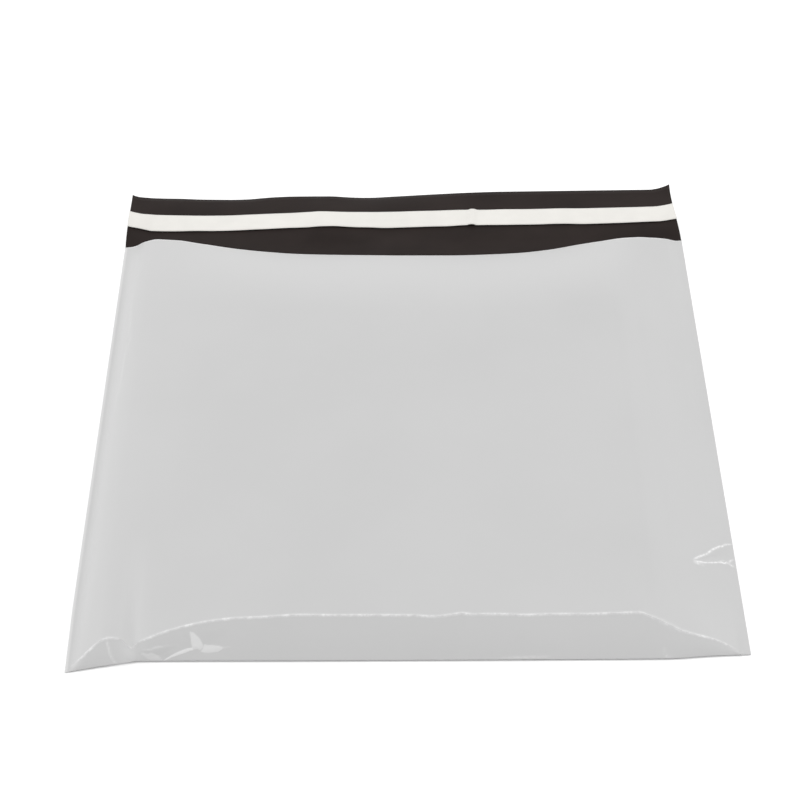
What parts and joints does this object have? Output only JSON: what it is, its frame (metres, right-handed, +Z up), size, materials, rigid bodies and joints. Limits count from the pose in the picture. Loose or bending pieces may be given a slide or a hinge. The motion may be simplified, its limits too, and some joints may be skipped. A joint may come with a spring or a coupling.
{
  "type": "poly mailer bag",
  "caption": "Grey poly mailer bag lying flat and open, with a folded bottom, welded sides, and an unfolded flap with a release liner over its adhesive strip.",
  "frame": {"origin": "middle of the whole length and width, on the underside of the back panel", "axes": "+X across the bag to the right, +Y from the bottom fold to the flap's edge, +Z up"},
  "size_m": [0.35, 0.4043, 0.0216],
  "materials": {
    "grey_film": "smooth co-extruded polyethylene film, light grey and semi-gloss outside, near-black and duller inside",
    "adhesive": "clear, slightly cloudy hot-melt adhesive",
    "white_liner": "warm white silicone-coated release liner with a low sheen"
  },
  "bodies": {
    "root": {"mailer_film": "grey_film", "adhesive_strip": "adhesive", "release_liner": "white_liner"}
  },
  "joints": []
}
